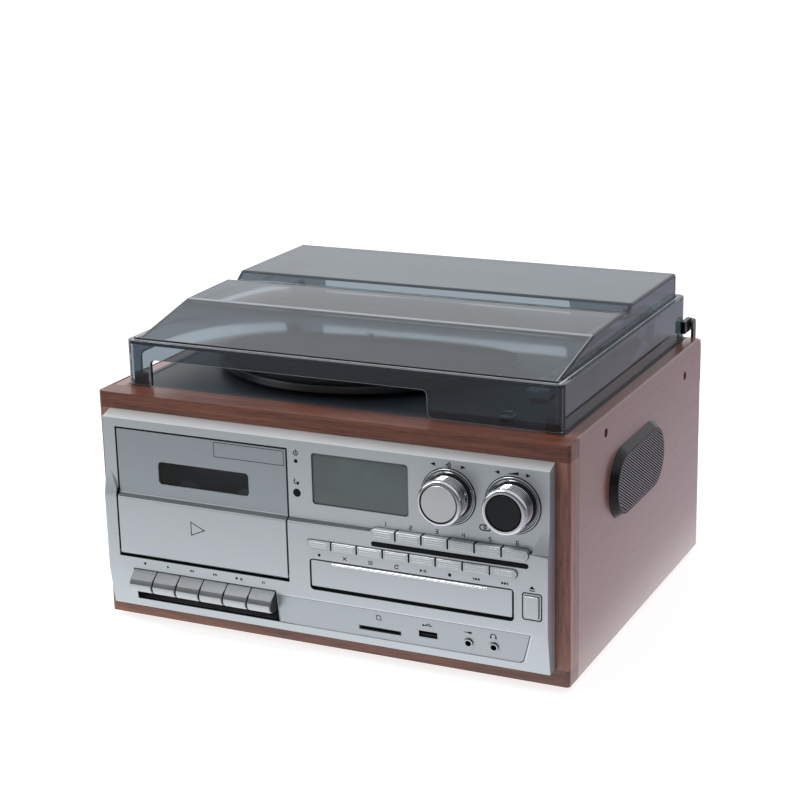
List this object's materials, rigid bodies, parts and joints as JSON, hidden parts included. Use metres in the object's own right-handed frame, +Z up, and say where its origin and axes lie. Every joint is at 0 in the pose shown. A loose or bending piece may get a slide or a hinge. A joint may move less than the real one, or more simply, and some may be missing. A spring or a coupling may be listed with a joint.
{
  "type": "stereo music centre",
  "caption": "Wooden tabletop music centre: turntable under a hinged smoked lid, cassette door with piano keys, disc tray, tuner panel with two knobs, speaker in each side.",
  "frame": {"origin": "middle of the footprint, on the surface that the feet stand on", "axes": "+X to the right of somebody who faces the front panel, +Y to the rear, +Z up"},
  "size_m": [0.324, 0.2838, 0.197],
  "materials": {
    "walnut": "satin lacquer",
    "floor_board": "painted black board",
    "silver_plastic": "satin silver paint",
    "black_plastic": "fine grain",
    "gloss_black": "polished",
    "dark_grey": "polished",
    "window_grey": "polished",
    "smoked_plastic": "clear smoked",
    "bright_metal": "polished",
    "steel": "plain",
    "platter_metal": "satin",
    "rubber": "matt",
    "cone": "pressed fibre",
    "board": "coated",
    "white_plastic": "plain",
    "red_plastic": "polished"
  },
  "bodies": {
    "cabinet": {"front_frame": "walnut", "side_panels": "walnut", "bottom_panel": "floor_board", "rear_panel": "black_plastic", "deck_plate": "black_plastic", "fascia": "silver_plastic", "display_window": "window_grey", "knob_rings": "bright_metal", "speaker_housings": "gloss_black", "speaker_grilles": "dark_grey", "speaker_drivers": "cone", "rubber_feet": "rubber", "screws": "steel", "hinge_brackets": "steel", "port_sockets": "black_plastic", "jack_sockets": "bright_metal", "rear_sockets": "black_plastic", "circuit_boards": "board", "tape_mechanism": "steel", "disc_loader": "black_plastic", "platter_motor": "steel", "arm_rest": "black_plastic", "spindle": "bright_metal"},
    "lid": {"dust_cover": "smoked_plastic", "lid_hinges": "black_plastic"},
    "turntable": {"platter": "platter_metal", "platter_mat": "rubber"},
    "arm_yoke": {"arm_pivot": "bright_metal"},
    "arm": {"tonearm": "bright_metal", "cartridge": "red_plastic"},
    "cueing": {"cue_lever": "bright_metal"},
    "speed_slide": {"speed_switch": "bright_metal"},
    "cassette_door": {"tape_door": "silver_plastic", "tape_window": "dark_grey"},
    "record_key_body": {"record_key": "silver_plastic"},
    "play_key_body": {"play_key": "silver_plastic"},
    "rewind_key_body": {"rewind_key": "silver_plastic"},
    "forward_key_body": {"forward_key": "silver_plastic"},
    "stop_key_body": {"stop_key": "silver_plastic"},
    "pause_key_body": {"pause_key": "silver_plastic"},
    "supply_reel_body": {"supply_reel": "white_plastic"},
    "take_up_reel_body": {"take_up_reel": "white_plastic"},
    "tray": {"disc_tray": "silver_plastic"},
    "tuning": {"tuning_knob": "bright_metal"},
    "volume": {"volume_knob": "bright_metal"},
    "eject": {"eject_button": "silver_plastic"},
    "function_1": {"function_button_1": "silver_plastic"},
    "function_2": {"function_button_2": "silver_plastic"},
    "function_3": {"function_button_3": "silver_plastic"},
    "function_4": {"function_button_4": "silver_plastic"},
    "function_5": {"function_button_5": "silver_plastic"},
    "function_6": {"function_button_6": "silver_plastic"},
    "transport_1": {"transport_button_1": "silver_plastic"},
    "transport_2": {"transport_button_2": "silver_plastic"},
    "transport_3": {"transport_button_3": "silver_plastic"},
    "transport_4": {"transport_button_4": "silver_plastic"},
    "transport_5": {"transport_button_5": "silver_plastic"},
    "transport_6": {"transport_button_6": "silver_plastic"},
    "transport_7": {"transport_button_7": "silver_plastic"},
    "transport_8": {"transport_button_8": "silver_plastic"}
  },
  "joints": [
    {"name": "lid_hinge", "type": "hinge", "parent": "cabinet", "child": "lid", "pos_m": [0, 0.13775, 0.161], "axis": [-1, 0, 0], "range_deg": [0, 75]},
    {"name": "platter_spin", "type": "hinge", "parent": "cabinet", "child": "turntable", "pos_m": [-0.0305, 0.01525, 0.16], "axis": [0, 0, 1], "continuous": true},
    {"name": "arm_yaw", "type": "hinge", "parent": "cabinet", "child": "arm_yoke", "pos_m": [0.124, 0.10025, 0.172], "axis": [0, 0, -1], "range_deg": [0, 42]},
    {"name": "arm_lift", "type": "hinge", "parent": "arm_yoke", "child": "arm", "pos_m": [0.124, 0.10025, 0.172], "axis": [-1, -0.0095, 0], "range_deg": [0, 1.85]},
    {"name": "cue_turn", "type": "hinge", "parent": "cabinet", "child": "cueing", "pos_m": [0.12429, 0.07025, 0.1615], "axis": [-1, -0.0095, 0], "range_deg": [0, 60]},
    {"name": "speed_select", "type": "slide", "parent": "cabinet", "child": "speed_slide", "axis": [0, 1, 0], "range_m": [-0.004, 0.004]},
    {"name": "door_hinge", "type": "hinge", "parent": "cabinet", "child": "cassette_door", "pos_m": [-0.07945, -0.12835, 0.0518], "axis": [1, 0, 0], "range_deg": [0, 35]},
    {"name": "record_key_press", "type": "hinge", "parent": "cabinet", "child": "record_key_body", "pos_m": [-0.12195, -0.10075, 0.034], "axis": [1, 0, 0], "range_deg": [0, 6], "stiffness_Nm_per_rad": 0.8, "springref_deg": -6.88},
    {"name": "play_key_press", "type": "hinge", "parent": "cabinet", "child": "play_key_body", "pos_m": [-0.10495, -0.10075, 0.034], "axis": [1, 0, 0], "range_deg": [0, 6], "stiffness_Nm_per_rad": 0.8, "springref_deg": -6.88},
    {"name": "rewind_key_press", "type": "hinge", "parent": "cabinet", "child": "rewind_key_body", "pos_m": [-0.08795, -0.10075, 0.034], "axis": [1, 0, 0], "range_deg": [0, 6], "stiffness_Nm_per_rad": 0.8, "springref_deg": -6.88},
    {"name": "forward_key_press", "type": "hinge", "parent": "cabinet", "child": "forward_key_body", "pos_m": [-0.07095, -0.10075, 0.034], "axis": [1, 0, 0], "range_deg": [0, 6], "stiffness_Nm_per_rad": 0.8, "springref_deg": -6.88},
    {"name": "stop_key_press", "type": "hinge", "parent": "cabinet", "child": "stop_key_body", "pos_m": [-0.05395, -0.10075, 0.034], "axis": [1, 0, 0], "range_deg": [0, 6], "stiffness_Nm_per_rad": 0.8, "springref_deg": -6.88},
    {"name": "pause_key_press", "type": "hinge", "parent": "cabinet", "child": "pause_key_body", "pos_m": [-0.03695, -0.10075, 0.034], "axis": [1, 0, 0], "range_deg": [0, 6], "stiffness_Nm_per_rad": 0.8, "springref_deg": -6.88},
    {"name": "supply_reel_spin", "type": "hinge", "parent": "cabinet", "child": "supply_reel_body", "pos_m": [-0.1007, -0.11275, 0.0892], "axis": [0, 1, 0], "continuous": true},
    {"name": "take_up_reel_spin", "type": "hinge", "parent": "cabinet", "child": "take_up_reel_body", "pos_m": [-0.0582, -0.11275, 0.0892], "axis": [0, 1, 0], "continuous": true},
    {"name": "tray_slide", "type": "slide", "parent": "cabinet", "child": "tray", "axis": [0, -1, 0], "range_m": [0, 0.13]},
    {"name": "tuning_turn", "type": "hinge", "parent": "cabinet", "child": "tuning", "pos_m": [0.0866, -0.13275, 0.1162], "axis": [0, 1, 0], "continuous": true},
    {"name": "volume_turn", "type": "hinge", "parent": "cabinet", "child": "volume", "pos_m": [0.1266, -0.13275, 0.1162], "axis": [0, 1, 0], "range_deg": [-150, 150]},
    {"name": "eject_button_press", "type": "slide", "parent": "cabinet", "child": "eject", "axis": [0, 1, 0], "range_m": [0, 0.001], "stiffness_N_per_m": 400, "springref_m": -0.001},
    {"name": "function_button_1_press", "type": "slide", "parent": "cabinet", "child": "function_1", "axis": [0, 1, 0], "range_m": [0, 0.001], "stiffness_N_per_m": 400, "springref_m": -0.001},
    {"name": "function_button_2_press", "type": "slide", "parent": "cabinet", "child": "function_2", "axis": [0, 1, 0], "range_m": [0, 0.001], "stiffness_N_per_m": 400, "springref_m": -0.001},
    {"name": "function_button_3_press", "type": "slide", "parent": "cabinet", "child": "function_3", "axis": [0, 1, 0], "range_m": [0, 0.001], "stiffness_N_per_m": 400, "springref_m": -0.001},
    {"name": "function_button_4_press", "type": "slide", "parent": "cabinet", "child": "function_4", "axis": [0, 1, 0], "range_m": [0, 0.001], "stiffness_N_per_m": 400, "springref_m": -0.001},
    {"name": "function_button_5_press", "type": "slide", "parent": "cabinet", "child": "function_5", "axis": [0, 1, 0], "range_m": [0, 0.001], "stiffness_N_per_m": 400, "springref_m": -0.001},
    {"name": "function_button_6_press", "type": "slide", "parent": "cabinet", "child": "function_6", "axis": [0, 1, 0], "range_m": [0, 0.001], "stiffness_N_per_m": 400, "springref_m": -0.001},
    {"name": "transport_button_1_press", "type": "slide", "parent": "cabinet", "child": "transport_1", "axis": [0, 1, 0], "range_m": [0, 0.001], "stiffness_N_per_m": 400, "springref_m": -0.001},
    {"name": "transport_button_2_press", "type": "slide", "parent": "cabinet", "child": "transport_2", "axis": [0, 1, 0], "range_m": [0, 0.001], "stiffness_N_per_m": 400, "springref_m": -0.001},
    {"name": "transport_button_3_press", "type": "slide", "parent": "cabinet", "child": "transport_3", "axis": [0, 1, 0], "range_m": [0, 0.001], "stiffness_N_per_m": 400, "springref_m": -0.001},
    {"name": "transport_button_4_press", "type": "slide", "parent": "cabinet", "child": "transport_4", "axis": [0, 1, 0], "range_m": [0, 0.001], "stiffness_N_per_m": 400, "springref_m": -0.001},
    {"name": "transport_button_5_press", "type": "slide", "parent": "cabinet", "child": "transport_5", "axis": [0, 1, 0], "range_m": [0, 0.001], "stiffness_N_per_m": 400, "springref_m": -0.001},
    {"name": "transport_button_6_press", "type": "slide", "parent": "cabinet", "child": "transport_6", "axis": [0, 1, 0], "range_m": [0, 0.001], "stiffness_N_per_m": 400, "springref_m": -0.001},
    {"name": "transport_button_7_press", "type": "slide", "parent": "cabinet", "child": "transport_7", "axis": [0, 1, 0], "range_m": [0, 0.001], "stiffness_N_per_m": 400, "springref_m": -0.001},
    {"name": "transport_button_8_press", "type": "slide", "parent": "cabinet", "child": "transport_8", "axis": [0, 1, 0], "range_m": [0, 0.001], "stiffness_N_per_m": 400, "springref_m": -0.001}
  ],
  "couplings": [
    {"joint": "arm_lift", "follows": "cue_turn", "ratio": 0.03}
  ]
}
